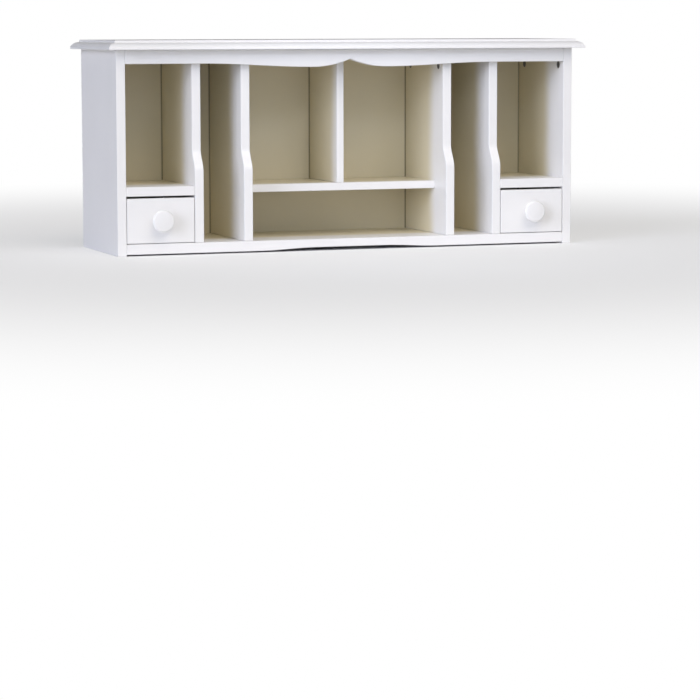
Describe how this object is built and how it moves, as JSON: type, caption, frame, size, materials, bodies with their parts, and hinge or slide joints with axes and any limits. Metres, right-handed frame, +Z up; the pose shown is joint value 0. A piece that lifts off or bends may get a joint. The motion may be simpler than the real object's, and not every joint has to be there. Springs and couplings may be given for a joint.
{
  "type": "desk hutch",
  "caption": "Free-standing desk-top hutch: open bays round a middle shelf, under a moulded top board and a scalloped rail, with small knobbed drawers at the foot of the end bays.",
  "frame": {"origin": "centre of the case footprint on the surface it stands on, midway between the four locating holes under the side panels", "axes": "+X to the right along the width, +Y towards the back, +Z up"},
  "size_m": [0.982, 0.296, 0.41],
  "materials": {
    "white_lacquer": "white satin lacquer on fibreboard",
    "lacquered_back": "white satin lacquer on thin fibreboard",
    "drawer_board": "clear-sealed birch plywood",
    "drawer_bottom_board": "clear-sealed thin birch plywood",
    "raw_board": "sanded softwood",
    "beech": "turned beech",
    "zinc_alloy": "die-cast zinc alloy, dull",
    "zinc_plated_steel": "bright zinc plated"
  },
  "bodies": {
    "case": {"top_board": "white_lacquer", "left_side_panel": "white_lacquer", "right_side_panel": "white_lacquer", "bottom_board": "white_lacquer", "top_rail": "white_lacquer", "bottom_rail": "white_lacquer", "left_outer_divider": "white_lacquer", "left_inner_divider": "white_lacquer", "centre_divider": "white_lacquer", "right_inner_divider": "white_lacquer", "right_outer_divider": "white_lacquer", "left_drawer_shelf": "white_lacquer", "right_drawer_shelf": "white_lacquer", "centre_shelf": "white_lacquer", "back_panel": "lacquered_back", "top_cam_locks": "zinc_alloy", "top_cam_bolts": "zinc_plated_steel", "base_cam_locks": "zinc_alloy", "base_cam_bolts": "zinc_plated_steel", "top_dowels": "beech", "base_dowels": "beech", "shelf_dowels": "beech", "rail_dowels": "beech", "back_panel_screws": "zinc_plated_steel", "left_drawer_stop": "raw_board", "right_drawer_stop": "raw_board"},
    "left_drawer": {"left_drawer_front": "white_lacquer", "left_drawer_left_side": "drawer_board", "left_drawer_right_side": "drawer_board", "left_drawer_back": "drawer_board", "left_drawer_bottom": "drawer_bottom_board", "left_drawer_dowels": "beech", "left_drawer_screws": "zinc_plated_steel", "left_knob": "white_lacquer", "left_knob_screw": "zinc_plated_steel"},
    "right_drawer": {"right_drawer_front": "white_lacquer", "right_drawer_left_side": "drawer_board", "right_drawer_right_side": "drawer_board", "right_drawer_back": "drawer_board", "right_drawer_bottom": "drawer_bottom_board", "right_drawer_dowels": "beech", "right_drawer_screws": "zinc_plated_steel", "right_knob": "white_lacquer", "right_knob_screw": "zinc_plated_steel"}
  },
  "joints": [
    {"name": "left_drawer_slide", "type": "slide", "parent": "case", "child": "left_drawer", "axis": [0, -1, 0], "range_m": [0, 0.16]},
    {"name": "right_drawer_slide", "type": "slide", "parent": "case", "child": "right_drawer", "axis": [0, -1, 0], "range_m": [0, 0.16]}
  ]
}
